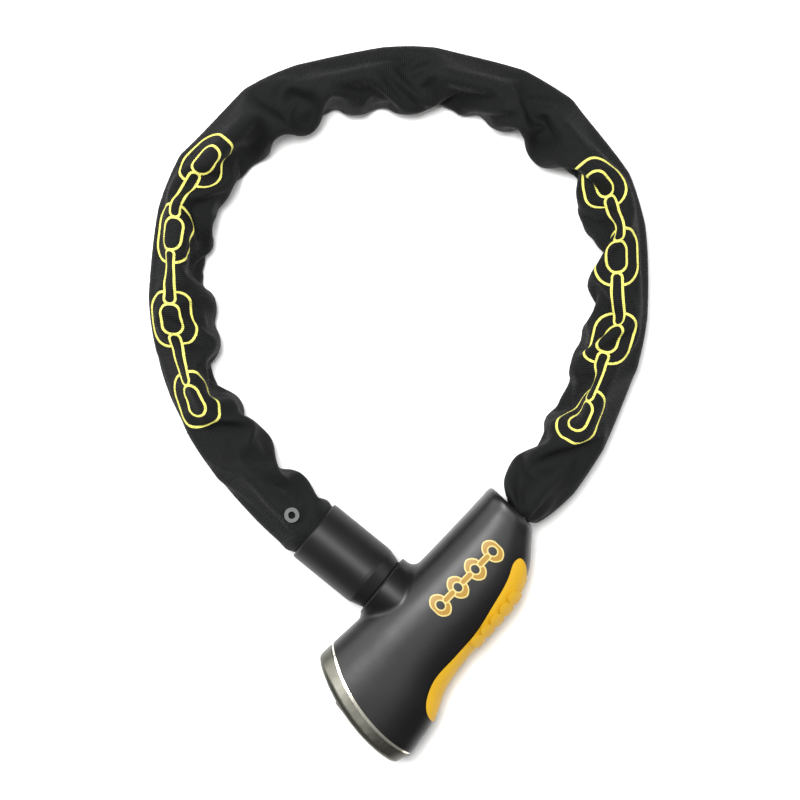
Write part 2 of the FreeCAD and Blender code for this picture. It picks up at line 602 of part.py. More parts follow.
# ---------------------------------------------------------------- chain

def link_reach(number):
    """Distance between a link's two hinges: inside its ends when flat, on its bars on edge."""
    if number % 2:
        return LINK_INNER_LENGTH - STOCK - 2 * LINK_PLAY
    return LINK_INNER_LENGTH + STOCK


def chain_joints():
    """The hinge points from the anchor pin to the ferrule's pin, in plan.

    The chosen headings nearly close the loop. The rest is shared out along the chain, most in
    the middle and nothing at its ends, so that the last hinge lands on the ferrule's pin.
    """
    start = Vector(ANCHOR[0], ANCHOR[1], 0)
    end = on_port(FERRULE_PIN_AT)
    headings = [radians(h - HEAD_HEADING) for h in LINK_HEADINGS]
    headings[-1] = atan2(-PORT_OUT.y, -PORT_OUT.x) + 2 * pi
    share = [sin(pi * i / (LINK_COUNT - 1)) for i in range(LINK_COUNT)]
    for repeat in range(12):
        steps = [Vector(cos(h), sin(h), 0).multiply(link_reach(i + 1)) for i, h in enumerate(headings)]
        swings = [Vector(-s.y, s.x, 0) for s in steps]
        miss_x = end.x - start.x - sum(s.x for s in steps)
        miss_y = end.y - start.y - sum(s.y for s in steps)
        xx = sum(w * s.x * s.x for w, s in zip(share, swings))
        xy = sum(w * s.x * s.y for w, s in zip(share, swings))
        yy = sum(w * s.y * s.y for w, s in zip(share, swings))
        area = xx * yy - xy * xy
        pull = Vector((yy * miss_x - xy * miss_y) / area, (xx * miss_y - xy * miss_x) / area, 0)
        headings = [h + w * pull.dot(s) for h, w, s in zip(headings, share, swings)]
    joints = [start]
    for step in steps:
        joints.append(joints[-1] + step)
    return joints


JOINTS = chain_joints()


def link_height(number):
    """The chain comes down from the head, and rises again to the ferrule, a little per link."""
    from_end = min(number - 1, LINK_COUNT - number)
    return LOOP_Z + (HEAD_AXIS_Z - LOOP_Z) * max(0.0, 1 - from_end / DROP_LINKS)


def chain_link(number):
    half_straight = (LINK_INNER_LENGTH - LINK_INNER_WIDTH) / 2
    bend = (LINK_INNER_WIDTH + STOCK) / 2
    link = None
    for side in (-1, 1):
        bar = Part.makeCylinder(STOCK / 2, 2 * half_straight, Vector(-half_straight, side * bend, 0), Vector(1, 0, 0))
        crown = Part.makeTorus(bend, STOCK / 2, Vector(0, 0, 0), Vector(0, 0, 1))
        crown = crown.common(box((0, FAR), (-FAR, FAR), (-FAR, FAR)))
        crown.rotate(Vector(0, 0, 0), Vector(0, 0, 1), 0 if side > 0 else 180)
        crown.translate(Vector(side * half_straight, 0, 0))
        link = bar.fuse(crown) if link is None else link.fuse([bar, crown])
    if number % 2 == 0:
        link.rotate(Vector(0, 0, 0), Vector(1, 0, 0), 90)
    a, b = JOINTS[number - 1], JOINTS[number]
    link.rotate(Vector(0, 0, 0), Vector(0, 0, 1), degrees(atan2(b.y - a.y, b.x - a.x)))
    link.translate((a + b).multiply(0.5) + Vector(0, 0, link_height(number)))
    return link.removeSplitter()


# ---------------------------------------------------------------- sleeve

def unit(v):
    return Vector(v).multiply(1 / v.Length)


def sleeve_stations(number):
    """(point, direction, half width, half height) along one section, about its standing link."""
    before, first, last, after = [JOINTS[number + i] for i in (-2, -1, 0, 1)]
    height = Vector(0, 0, link_height(number))
    full = (SLEEVE_RADIUS, SLEEVE_RADIUS)
    stations = []
    if number == 2:
        ahead = unit(last - first)
        mouth = first + Vector(ahead).multiply((MOUTH_X + MOUTH_GAP - first.x) / ahead.x)
        stations.append((mouth, ahead, NECK_HALF_WIDTH, NECK_HALF_HEIGHT))
        stations.append((mouth + Vector(ahead).multiply(NECK_LENGTH), ahead) + full)
    else:
        ahead = unit(first - before)
        middle = (before + first).multiply(0.5)
        stations.append((middle + Vector(ahead).multiply(SLEEVE_GAP / 2), ahead) + full)
        stations.append((first, ahead + unit(last - first)) + full)
    if number == LINK_COUNT - 1:
        ahead = unit(after - last)
        end = on_port(FERRULE_BACK + FERRULE_GAP)
        stations.append((last, unit(last - first) + ahead) + full)
        stations.append((Vector(end.x, end.y, 0), ahead) + full)
    else:
        ahead = unit(after - last)
        middle = (last + after).multiply(0.5)
        stations.append((last, unit(last - first) + ahead) + full)
        stations.append((middle - Vector(ahead).multiply(SLEEVE_GAP / 2), ahead) + full)
    return [(point + height, unit(direction), wide, high) for point, direction, wide, high in stations]


def sleeve_loft(stations, inset, past):
    """A straight-sided loft through the stations; past runs its two ends on beyond them."""
    rings = []
    last = len(stations) - 1
    for i, (point, direction, wide, high) in enumerate(stations):
        leg = unit(stations[min(i + 1, last)][0] - stations[max(i, 1) - 1 if i == last else i][0])
        mitre = 1 / abs(leg.dot(direction))
        shift = past * ((i == last) - (i == 0))
        centre = point + Vector(direction).multiply(shift)
        across = Vector(-direction.y, direction.x, 0)
        rings.append(oval(centre, across, (wide - inset) * mitre, high - inset, 2.0, 16))
    return Part.makeLoft(rings, True, True)


def sleeve_section(number):
    stations = sleeve_stations(number)
    section = sleeve_loft(stations, 0, 0).cut(sleeve_loft(stations, SLEEVE_WALL, 1.0))
    if number == LINK_COUNT - 1:
        section = section.cut(Part.makeCylinder(EYELET_HOLE + 0.8, FAR, eyelet_place()))
    return section


def eyelet_place():
    place = on_port(FERRULE_BACK + EYELET_BACK)
    return Vector(place.x, place.y, link_height(LINK_COUNT - 1))


def sleeve_eyelet():
    """The rivet that pins the sleeve's end, with a lip above and below the cloth."""
    place = eyelet_place()
    top = place + Vector(0, 0, SLEEVE_RADIUS)
    under = place + Vector(0, 0, SLEEVE_RADIUS - SLEEVE_WALL - 0.9 * EYELET_LIP)
    lips = Part.makeCylinder(EYELET_RADIUS, EYELET_LIP, top)
    barrel = Part.makeCylinder(EYELET_HOLE + 0.7, SLEEVE_WALL + 0.9 * EYELET_LIP + 0.1, under)
    return lips.fuse(barrel).removeSplitter().cut(Part.makeCylinder(EYELET_HOLE, FAR, place))


# ---------------------------------------------------------------- whole lock

def build_nodes():
    upper, lower = casing_halves()
    nodes = {
        "casing_upper": upper, "casing_lower": lower, "grip_pad": grip_pad(), "cap_rim": cap_rim(),
        "end_cap": end_cap(), "lock_core": lock_core(), "port_liner": port_liner(),
        "port_seal": port_seal(), "anchor_pin": anchor_pin(), "casing_screws": casing_screws(),
        "cylinder_barrel": cylinder_barrel(), "cylinder_plug": cylinder_plug(),
        "drill_guard": drill_guard(), "detainer_discs": detainer_discs(), "side_bar": side_bar(),
        "keyway_cover": keyway_cover(), "cover_ring": cover_ring(), "locking_plate": locking_plate(),
        "ferrule_collar": ferrule_collar(), "ferrule_core": ferrule_core(),
        "ferrule_stud": ferrule_stud(), "ferrule_pin": ferrule_pin(), "sleeve_eyelet": sleeve_eyelet(),
    }
    for number in range(1, LINK_COUNT + 1):
        nodes["chain_link_%02d" % number] = chain_link(number)
    for number in range(2, LINK_COUNT, 2):
        nodes["sleeve_%02d" % (number // 2)] = sleeve_section(number)
    return nodes


def extent(nodes):
    """The lowest and highest corner of all nodes together."""
    boxes = [shape.optimalBoundingBox(False) for shape in nodes.values()]
    low = Vector(min(b.XMin for b in boxes), min(b.YMin for b in boxes), min(b.ZMin for b in boxes))
    high = Vector(max(b.XMax for b in boxes), max(b.YMax for b in boxes), max(b.ZMax for b in boxes))
    return low, high


def main():
    os.makedirs("parts", exist_ok=True)
    nodes = build_nodes()
    turn = Placement(Vector(0, 0, 0), Rotation(Vector(0, 0, 1), HEAD_HEADING))
    for shape in nodes.values():
        shape.Placement = turn.multiply(shape.Placement)
    low, high = extent(nodes)
    shift = Vector(-(low.x + high.x) / 2, -(low.y + high.y) / 2, 0)
    print("size", (high - low).x, (high - low).y, (high - low).z, "low z", low.z)
    for name, shape in nodes.items():
        shape.translate(shift)
        shape.exportStep("parts/%s.step" % name)
        solids = len(shape.Solids)
        print("%-16s solids %2d valid %s volume %.0f" % (name, solids, shape.isValid(), shape.Volume))
    place = Placement(shift, Rotation()).multiply(turn)
    for i, joint in enumerate(JOINTS):
        height = HEAD_AXIS_Z if i in (0, LINK_COUNT) else LOOP_Z
        at = place.multVec(joint + Vector(0, 0, height - joint.z))
        print("joint %02d %.6f %.6f %.6f" % (i, at.x / 1000, at.y / 1000, at.z / 1000))
    marks = {"cylinder_axis": Vector(0, CYLINDER_Y, HEAD_AXIS_Z), "port_face": PORT_CENTRE,
             "underside": Vector(0, 0, 0), "head_origin": Vector(0, 0, HEAD_AXIS_Z)}
    for name, point in marks.items():
        at = place.multVec(point)
        print("mark %s %.6f %.6f %.6f" % (name, at.x / 1000, at.y / 1000, at.z / 1000))


main()
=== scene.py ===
import json
import math

import bpy
import numpy as np
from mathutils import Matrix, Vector


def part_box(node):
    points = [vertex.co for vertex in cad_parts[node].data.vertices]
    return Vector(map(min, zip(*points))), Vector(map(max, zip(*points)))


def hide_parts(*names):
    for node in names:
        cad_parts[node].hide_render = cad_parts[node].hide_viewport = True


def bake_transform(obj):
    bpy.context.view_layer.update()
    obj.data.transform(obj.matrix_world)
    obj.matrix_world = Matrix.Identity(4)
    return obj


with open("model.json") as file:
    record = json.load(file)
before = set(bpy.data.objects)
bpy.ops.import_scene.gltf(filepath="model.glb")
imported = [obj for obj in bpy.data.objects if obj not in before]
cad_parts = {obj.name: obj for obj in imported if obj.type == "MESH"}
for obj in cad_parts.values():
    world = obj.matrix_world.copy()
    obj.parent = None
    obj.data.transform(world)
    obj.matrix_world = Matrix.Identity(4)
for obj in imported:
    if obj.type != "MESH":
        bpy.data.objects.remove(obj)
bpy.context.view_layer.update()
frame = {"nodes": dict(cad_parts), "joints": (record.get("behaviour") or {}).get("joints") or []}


# ---- Table and studio light
# A pale matt table under a large softbox, with two long strip lights at the sides. The box
# gives the black moulding its one broad highlight, and the strips rake the cloth's folds.

def srgb(code):
    """Linear colour of an sRGB hex value."""
    parts = [int(code[i:i + 2], 16) / 255 for i in (1, 3, 5)]
    return [p / 12.92 if p <= 0.04045 else ((p + 0.055) / 1.055) ** 2.4 for p in parts] + [1.0]


def add(tree, kind, *inputs, **named):
    """Adds a shader node. What feeds it is given in its inputs' order, or by an input's name
    with _ for a space, or by i and its number. Any other name is one of the node's settings.
    A node given as an input stands for its first output."""
    node = tree.nodes.new(kind)
    feeds = list(enumerate(inputs))
    for name, value in named.items():
        if name[0] == "i" and name[1:].isdigit():
            feeds.append((int(name[1:]), value))
        elif name[0].isupper():
            feeds.append((name.replace("_", " "), value))
        else:
            setattr(node, name, value)
    for socket, value in feeds:
        if isinstance(value, bpy.types.Node):
            value = value.outputs[0]
        if isinstance(value, bpy.types.NodeSocket):
            tree.links.new(value, node.inputs[socket])
        else:
            node.inputs[socket].default_value = value
    return node


def finish_of(name):
    """An empty material with its output, and the tree to fill."""
    material = bpy.data.materials.new(name)
    material.use_nodes = True
    material.node_tree.nodes.clear()
    return material, material.node_tree


def close(tree, shader):
    output = add(tree, "ShaderNodeOutputMaterial")
    tree.links.new(shader.outputs[0], output.inputs["Surface"])


# Laid paper, with fibres about 1 mm apart that keep it from looking like a painted plane.
table_material, tree = finish_of("matt_table_paper")
fibre = add(tree, "ShaderNodeTexNoise", Vector=add(tree, "ShaderNodeTexCoord").outputs["Object"], Scale=900.0)
pale = add(tree, "ShaderNodeValToRGB", Fac=fibre.outputs["Fac"])
pale.color_ramp.elements[0].color = srgb("#f3f3f2")
pale.color_ramp.elements[1].color = srgb("#f8f8f7")
close(tree, add(tree, "ShaderNodeBsdfPrincipled", Base_Color=pale.outputs["Color"], Roughness=0.9,
                Specular_IOR_Level=0.1))

TABLE_REACH = 3.0
TABLE_DROP = 0.0002           # below the lock, so that the two don't flicker
bpy.ops.mesh.primitive_grid_add(x_subdivisions=4, y_subdivisions=4, size=2 * TABLE_REACH,
                                location=(0, 0, -TABLE_DROP))
table = bpy.context.object
table.name = "table"
table.data.materials.append(table_material)

FILL_LIGHT = 0.28
world = bpy.data.worlds.new("studio")
bpy.context.scene.world = world
world.use_nodes = True
background = world.node_tree.nodes["Background"]
background.inputs["Color"].default_value = (1, 1, 1, 1)
background.inputs["Strength"].default_value = FILL_LIGHT
bpy.context.scene.view_settings.view_transform = "Standard"

# name, place, width, length, power in watts: softbox overhead, strips low at the sides
LIGHTS = [("softbox", (-0.15, 0.25, 1.5), 0.45, 0.45, 31.0),
          ("strip_left", (-0.95, 0.45, 0.75), 0.35, 1.3, 13.0),
          ("strip_right", (1.0, 0.1, 0.7), 0.35, 1.3, 6.0)]
for name, place, width, length, power in LIGHTS:
    light = bpy.data.lights.new(name, "AREA")
    light.shape = "RECTANGLE"
    light.size, light.size_y, light.energy = width, length, power
    lamp = bpy.data.objects.new(name, light)
    lamp.location = place
    lamp.rotation_euler = (Vector((0, 0, 0)) - Vector(place)).to_track_quat("-Z", "Y").to_euler()
    bpy.context.scene.collection.objects.link(lamp)

# The camera looks straight down. 400 mm of table at the chain's height fill the frame.
VIEW_WIDTH = 0.400
LENS, SENSOR = 100.0, 36.0
CHAIN_HEIGHT = 0.017
camera_data = bpy.data.cameras.new("camera")
camera_data.lens, camera_data.sensor_width = LENS, SENSOR
camera = bpy.data.objects.new("camera", camera_data)
camera.location = (0.001, 0.0, CHAIN_HEIGHT + VIEW_WIDTH * LENS / SENSOR)
bpy.context.scene.collection.objects.link(camera)
bpy.context.scene.camera = camera


# ---- Casing
# Two shells of glass-filled nylon, moulded with a fine spark-eroded grain and screwed together
# over the steel core. The grain spreads the light into one broad, soft grey highlight. A drawn
# chain is pad printed in gold on the upper shell.

nodes = frame["nodes"]
GRAIN_MM = 0.35                  # spark-eroded grain, drawn coarser than it is so that it shows
DECAL_MIDDLE = (0.030, 0.0085)   # from the key cylinder's axis: along the head, and to its left
DECAL_LONG = 0.043
DECAL_TALL = 0.0125
DECAL_LINKS = 7
DECAL_LINE = 0.0007
DECAL_LOWEST = 0.025             # only the upper shell is printed
MATH = "ShaderNodeMath"


def dress(material, *names):
    """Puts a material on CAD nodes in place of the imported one."""
    for name in names:
        for slot in nodes[name].material_slots:
            slot.material = material


def box_distance(tree, x, y, half_wide, half_tall, corner):
    """Distance outside a rounded box round 0, 0; below 0 inside."""
    dx = add(tree, MATH, add(tree, MATH, x, operation="ABSOLUTE"), half_wide - corner,
             operation="SUBTRACT")
    dy = add(tree, MATH, add(tree, MATH, y, operation="ABSOLUTE"), half_tall - corner,
             operation="SUBTRACT")
    over = add(tree, "ShaderNodeCombineXYZ", add(tree, MATH, dx, 0.0, operation="MAXIMUM"),
               add(tree, MATH, dy, 0.0, operation="MAXIMUM"))
    outside = add(tree, "ShaderNodeVectorMath", over, operation="LENGTH").outputs["Value"]
    inside = add(tree, MATH, add(tree, MATH, dx, dy, operation="MAXIMUM"), 0.0,
                 operation="MINIMUM")
    both = add(tree, MATH, outside, inside, operation="ADD")
    return add(tree, MATH, both, corner, operation="SUBTRACT")


def outline(tree, distance, thick):
    """1 along the edge of a shape, over the line's thickness."""
    off = add(tree, MATH, distance, operation="ABSOLUTE")
    return add(tree, MATH, off, thick / 2, operation="LESS_THAN")


def drawn_chain(tree, x, y, step, tall, line, count):
    """A chain drawn along x from 0, its links a step apart: flat ones with round eyes, joined
    by narrow edge-on ones drawn over them. Gives the lines, and what they enclose."""
    shifted = add(tree, MATH, x, step / 2, operation="ADD")
    flat_x = add(tree, MATH, add(tree, MATH, shifted, 2 * step, operation="FLOORED_MODULO"),
                 step, operation="SUBTRACT")
    shifted = add(tree, MATH, x, step / 2, operation="SUBTRACT")
    thin_x = add(tree, MATH, add(tree, MATH, shifted, 2 * step, operation="FLOORED_MODULO"),
                 step, operation="SUBTRACT")
    rim = box_distance(tree, flat_x, y, step * 0.66, tall / 2, tall * 0.40)
    eye = box_distance(tree, flat_x, y, step * 0.37, tall * 0.22, tall * 0.20)
    thin = box_distance(tree, thin_x, y, step * 0.62, tall * 0.12, tall * 0.11)
    flat_lines = add(tree, MATH, outline(tree, rim, line), outline(tree, eye, line), operation="MAXIMUM")
    ring = add(tree, MATH, add(tree, MATH, rim, 0.0, operation="LESS_THAN"),
               add(tree, MATH, eye, 0.0, operation="GREATER_THAN"), operation="MULTIPLY")
    # the end links have no neighbour beyond them
    after = add(tree, MATH, x, step * 0.6, operation="GREATER_THAN")
    before = add(tree, MATH, x, step * (count - 0.6), operation="LESS_THAN")
    within = add(tree, MATH, after, before, operation="MULTIPLY")
    in_thin = add(tree, MATH, add(tree, MATH, thin, 0.0, operation="LESS_THAN"), within,
                  operation="MULTIPLY")
    thin_line = add(tree, MATH, outline(tree, thin, line), within, operation="MULTIPLY")
    shown = add(tree, MATH, 1.0, in_thin, operation="SUBTRACT")
    lines = add(tree, MATH, add(tree, MATH, flat_lines, shown, operation="MULTIPLY"),
                thin_line, operation="MAXIMUM")
    filled = add(tree, MATH, ring, in_thin, operation="MAXIMUM")
    after = add(tree, MATH, x, -step * 0.2, operation="GREATER_THAN")
    before = add(tree, MATH, x, step * (count + 0.2), operation="LESS_THAN")
    within = add(tree, MATH, after, before, operation="MULTIPLY")
    return (add(tree, MATH, lines, within, operation="MULTIPLY"),
            add(tree, MATH, filled, within, operation="MULTIPLY"))


casing_material, tree = finish_of("moulded_nylon_black")
place = add(tree, "ShaderNodeTexCoord").outputs["Object"]
grain = add(tree, "ShaderNodeTexNoise", Vector=place, Scale=1000 / GRAIN_MM, Detail=2.0)
# marks from hands, about 22 mm across
handling = add(tree, "ShaderNodeTexNoise", Vector=place, Scale=45.0, Detail=3.0)
rough = add(tree, "ShaderNodeMapRange", Value=handling.outputs["Fac"], To_Min=0.33, To_Max=0.40)
tint = add(tree, "ShaderNodeValToRGB", Fac=handling.outputs["Fac"])
tint.color_ramp.elements[0].color = srgb("#060606")
tint.color_ramp.elements[1].color = srgb("#0c0c0c")
bump = add(tree, "ShaderNodeBump", Strength=0.10, Distance=0.0001, Height=grain.outputs["Fac"])

key_axis = next(j for j in frame["joints"] if j["name"] == "cover_turn")
along = Vector(key_axis["axis"])
left = Vector((-along.y, along.x, 0))
decal_start = Vector(key_axis["pos_m"]) + along * (DECAL_MIDDLE[0] - DECAL_LONG / 2) + left * DECAL_MIDDLE[1]
from_start = add(tree, "ShaderNodeVectorMath", place, tuple(decal_start), operation="SUBTRACT")
x = add(tree, "ShaderNodeVectorMath", from_start, tuple(along), operation="DOT_PRODUCT").outputs["Value"]
y = add(tree, "ShaderNodeVectorMath", from_start, tuple(left), operation="DOT_PRODUCT").outputs["Value"]
lines, filled = drawn_chain(tree, x, y, DECAL_LONG / DECAL_LINKS, DECAL_TALL, DECAL_LINE, DECAL_LINKS)
upper = add(tree, MATH, add(tree, "ShaderNodeSeparateXYZ", place).outputs["Z"], DECAL_LOWEST,
            operation="GREATER_THAN")
lines = add(tree, MATH, lines, upper, operation="MULTIPLY")
filled = add(tree, MATH, filled, upper, operation="MULTIPLY")
gold = add(tree, "ShaderNodeMix", filled, data_type="RGBA", i6=tint, i7=srgb("#8f6c1c"))
printed = add(tree, "ShaderNodeMix", lines, data_type="RGBA", i6=gold.outputs[2], i7=srgb("#b9a765"))
close(tree, add(tree, "ShaderNodeBsdfPrincipled", Base_Color=printed.outputs[2], Roughness=rough,
                Specular_IOR_Level=0.28, Normal=bump))
dress(casing_material, "casing_upper", "casing_lower")


# ---- Grip pad
# Amber thermoplastic rubber, moulded over the casing's right side with five finger ridges. It
# is matt and has a slight bloom.

# The fine skin of the mould takes the shine off, and the bloom leaves the amber a little uneven.
grip_material, tree = finish_of("moulded_rubber_amber")
place = add(tree, "ShaderNodeTexCoord").outputs["Object"]
skin = add(tree, "ShaderNodeTexNoise", Vector=place, Scale=1000 / GRAIN_MM, Detail=2.0)
# bloom in patches about 17 mm across
bloom = add(tree, "ShaderNodeTexNoise", Vector=place, Scale=60.0, Detail=3.0)
amber = add(tree, "ShaderNodeValToRGB", Fac=bloom.outputs["Fac"])
amber.color_ramp.elements[0].color = srgb("#b58a12")
amber.color_ramp.elements[1].color = srgb("#c59a18")
bump = add(tree, "ShaderNodeBump", Strength=0.08, Distance=0.0001, Height=skin.outputs["Fac"])
close(tree, add(tree, "ShaderNodeBsdfPrincipled", Base_Color=amber.outputs["Color"], Roughness=0.55,
                Specular_IOR_Level=0.3, Normal=bump))
dress(grip_material, "grip_pad")


# ---- End cap and rim
# The butt is closed by a domed cap of stamped stainless steel, brushed along its arc and a
# little dull. A narrow polished ring lies between it and the casing.

BRUSH_MM = 0.3                # brush marks, drawn coarser than they are so that they show
BRUSH_STRETCH = 12.0          # a mark's length over its width

# Brushing smears the reflections along the arc and leaves the cap a warm middle grey.
cap_material, tree = finish_of("brushed_stainless_steel")
place = add(tree, "ShaderNodeTexCoord").outputs["Object"]
lines = add(tree, "ShaderNodeMapping", Vector=place, Scale=(1.0, 1.0, BRUSH_STRETCH))
brushing = add(tree, "ShaderNodeTexNoise", Vector=lines.outputs["Vector"],
               Scale=1000 / BRUSH_MM / BRUSH_STRETCH, Detail=2.0)
steel = add(tree, "ShaderNodeValToRGB", Fac=brushing.outputs["Fac"])
steel.color_ramp.elements[0].color = srgb("#4c4b45")
steel.color_ramp.elements[1].color = srgb("#63625a")
rough = add(tree, "ShaderNodeMapRange", Value=brushing.outputs["Fac"], To_Min=0.34, To_Max=0.46)
close(tree, add(tree, "ShaderNodeBsdfPrincipled", Base_Color=steel.outputs["Color"], Metallic=1.0,
                Roughness=rough))
dress(cap_material, "end_cap", "keyway_cover", "cover_ring")

# The polished ring is one clean bright line beside the dull cap.
rim_material, tree = finish_of("polished_stainless_steel")
place = add(tree, "ShaderNodeTexCoord").outputs["Object"]
# haze in patches about 8 mm across
haze = add(tree, "ShaderNodeTexNoise", Vector=place, Scale=120.0, Detail=3.0)
rough = add(tree, "ShaderNodeMapRange", Value=haze.outputs["Fac"], To_Min=0.16, To_Max=0.24)
bright = add(tree, "ShaderNodeValToRGB", Fac=haze.outputs["Fac"])
bright.color_ramp.elements[0].color = srgb("#cfcbbd")
bright.color_ramp.elements[1].color = srgb("#e2dfd2")
close(tree, add(tree, "ShaderNodeBsdfPrincipled", Base_Color=bright.outputs["Color"], Metallic=1.0,
                Roughness=rough))
dress(rim_material, "cap_rim")


# ---- Ferrule
# The plug-in end: a steel core pressed into a collar of the same black nylon, turned smooth, so
# it's a little glossier and greyer than the head. Its stud is ground and hardened.

collar_material, tree = finish_of("turned_nylon_black")
place = add(tree, "ShaderNodeTexCoord").outputs["Object"]
grain = add(tree, "ShaderNodeTexNoise", Vector=place, Scale=1000 / GRAIN_MM, Detail=2.0)
# worn patches about 14 mm across
wear = add(tree, "ShaderNodeTexNoise", Vector=place, Scale=70.0, Detail=3.0)
rough = add(tree, "ShaderNodeMapRange", Value=wear.outputs["Fac"], To_Min=0.40, To_Max=0.50)
grey = add(tree, "ShaderNodeValToRGB", Fac=wear.outputs["Fac"])
grey.color_ramp.elements[0].color = srgb("#0b0b0b")
grey.color_ramp.elements[1].color = srgb("#131314")
bump = add(tree, "ShaderNodeBump", Strength=0.10, Distance=0.0001, Height=grain.outputs["Fac"])
close(tree, add(tree, "ShaderNodeBsdfPrincipled", Base_Color=grey.outputs["Color"], Roughness=rough,
                Specular_IOR_Level=0.26, Normal=bump))
dress(collar_material, "ferrule_collar")

# The seal of moulded rubber is a flat black line between the boss and the ferrule.
seal_material, tree = finish_of("moulded_seal_rubber")
place = add(tree, "ShaderNodeTexCoord").outputs["Object"]
# dust in specks about 3 mm across
dust = add(tree, "ShaderNodeTexNoise", Vector=place, Scale=300.0, Detail=2.0)
soot = add(tree, "ShaderNodeValToRGB", Fac=dust.outputs["Fac"])
soot.color_ramp.elements[0].color = srgb("#0a0a0a")
soot.color_ramp.elements[1].color = srgb("#131313")
close(tree, add(tree, "ShaderNodeBsdfPrincipled", Base_Color=soot.outputs["Color"], Roughness=0.8))
dress(seal_material, "port_seal")


# ---- Lock works
# Hardened steel core, liner, pins, plate and stud, ground all over, with a turned brass barrel,
# plug and discs. They show only at the keyway, through the port, and where the lock opens.

SCRATCH_MM = 0.25             # grinding marks, drawn coarser than they are so that they show
SCRATCH_STRETCH = 10.0        # a mark's length over its width

# Grinding leaves hardened steel bluish and softly streaked.
ground_material, tree = finish_of("ground_hardened_steel")
place = add(tree, "ShaderNodeTexCoord").outputs["Object"]
lines = add(tree, "ShaderNodeMapping", Vector=place, Scale=(1.0, 1.0, SCRATCH_STRETCH))
scratches = add(tree, "ShaderNodeTexNoise", Vector=lines.outputs["Vector"],
                Scale=1000 / SCRATCH_MM / SCRATCH_STRETCH, Detail=2.0)
tone = add(tree, "ShaderNodeValToRGB", Fac=scratches.outputs["Fac"])
tone.color_ramp.elements[0].color = srgb("#85878a")
tone.color_ramp.elements[1].color = srgb("#a9abad")
rough = add(tree, "ShaderNodeMapRange", Value=scratches.outputs["Fac"], To_Min=0.26, To_Max=0.38)
close(tree, add(tree, "ShaderNodeBsdfPrincipled", Base_Color=tone.outputs["Color"], Metallic=1.0,
                Roughness=rough))
dress(ground_material, "lock_core", "port_liner", "anchor_pin", "drill_guard", "side_bar", "locking_plate",
      "ferrule_core", "ferrule_pin", "ferrule_stud", "casing_screws")

# Turned brass is smooth and yellow, with patches where it has begun to tarnish.
brass_material, tree = finish_of("turned_brass")
place = add(tree, "ShaderNodeTexCoord").outputs["Object"]
# spots about 7 mm across
tarnish = add(tree, "ShaderNodeTexNoise", Vector=place, Scale=150.0, Detail=3.0)
tone = add(tree, "ShaderNodeValToRGB", Fac=tarnish.outputs["Fac"])
tone.color_ramp.elements[0].color = srgb("#b08d45")
tone.color_ramp.elements[1].color = srgb("#cdab5e")
close(tree, add(tree, "ShaderNodeBsdfPrincipled", Base_Color=tone.outputs["Color"], Metallic=1.0,
                Roughness=0.3))
dress(brass_material, "cylinder_barrel", "cylinder_plug", "detainer_discs")


# ---- Chain
# Twenty-one links of 8 mm round bar, welded, hardened and zinc plated. Only the bar at the mouth
# could ever be seen; the rest lie inside the sleeve.

# Zinc plating is pale and even, with a faint cloudy spangle.
chain_material, tree = finish_of("zinc_plated_steel")
place = add(tree, "ShaderNodeTexCoord").outputs["Object"]
# spangle 2.5 mm across
spangle = add(tree, "ShaderNodeTexNoise", Vector=place, Scale=400.0, Detail=2.0)
tone = add(tree, "ShaderNodeValToRGB", Fac=spangle.outputs["Fac"])
tone.color_ramp.elements[0].color = srgb("#8d8f92")
tone.color_ramp.elements[1].color = srgb("#b4b6b8")
close(tree, add(tree, "ShaderNodeBsdfPrincipled", Base_Color=tone.outputs["Color"], Metallic=1.0,
                Roughness=0.38))

LINK_COUNT = 21
dress(chain_material, *["chain_link_%02d" % (i + 1) for i in range(LINK_COUNT)])


# ---- Sleeve
# A tube of black ribbed nylon about 100 mm round, cut longer than the chain so that its outer
# side can follow the bends. The inner side gathers into folds over the links. Its ends are
# pinched into the head's mouth and pushed into the ferrule.

hinges = [Vector(j["pos_m"]) for j in frame["joints"] if j["name"].startswith("chain_hinge")]

ROUND = 0.100                 # length of cloth round the tube
FULLNESS = 1.075              # cloth length over the chain's length
CLOTH = 0.0007                # thickness
RING_STEP = 0.0020            # between the cloth's rings of points
AROUND = 60                   # points in a ring
BAR = 0.004                   # chain bar radius
LINK_SIDE = 0.009             # bar's centre from the link's middle line
LINK_STRAIGHT = 0.0115        # half of a link's straight stretch
MOUTH_TUCK = 0.0143           # from the second hinge to the sleeve's end in the mouth
# half width and height of the neck, at distances from that end: held in the mouth, then free
NECK_AT = [0.0, 0.0021, 0.0040, 0.0150]
NECK_WIDE = [0.0060, 0.0063, 0.0100, 0.0159]
NECK_HIGH = [0.0132, 0.0133, 0.0146, 0.0159]
FERRULE_TUCK = 0.0115         # from the last but one hinge to the sleeve's end in the ferrule
FERRULE_BORE = 0.0140         # the ferrule's chamber, that the sleeve's end is pushed into
TUCK_LENGTH = 0.006           # over which it narrows to go in
EYELET_GRIP = 0.0045          # cloth held round the eyelet's middle
EYELET_SEAT = 0.0002          # its height over the eyelet's underside


def link_middle(number):
    low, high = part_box("chain_link_%02d" % number)
    a, b = hinges[number - 1], hinges[number]
    return Vector(((a.x + b.x) / 2, (a.y + b.y) / 2, (low.z + high.z) / 2))


def level(point, number):
    """The point at the height of a link."""
    return Vector((point.x, point.y, link_middle(number).z))


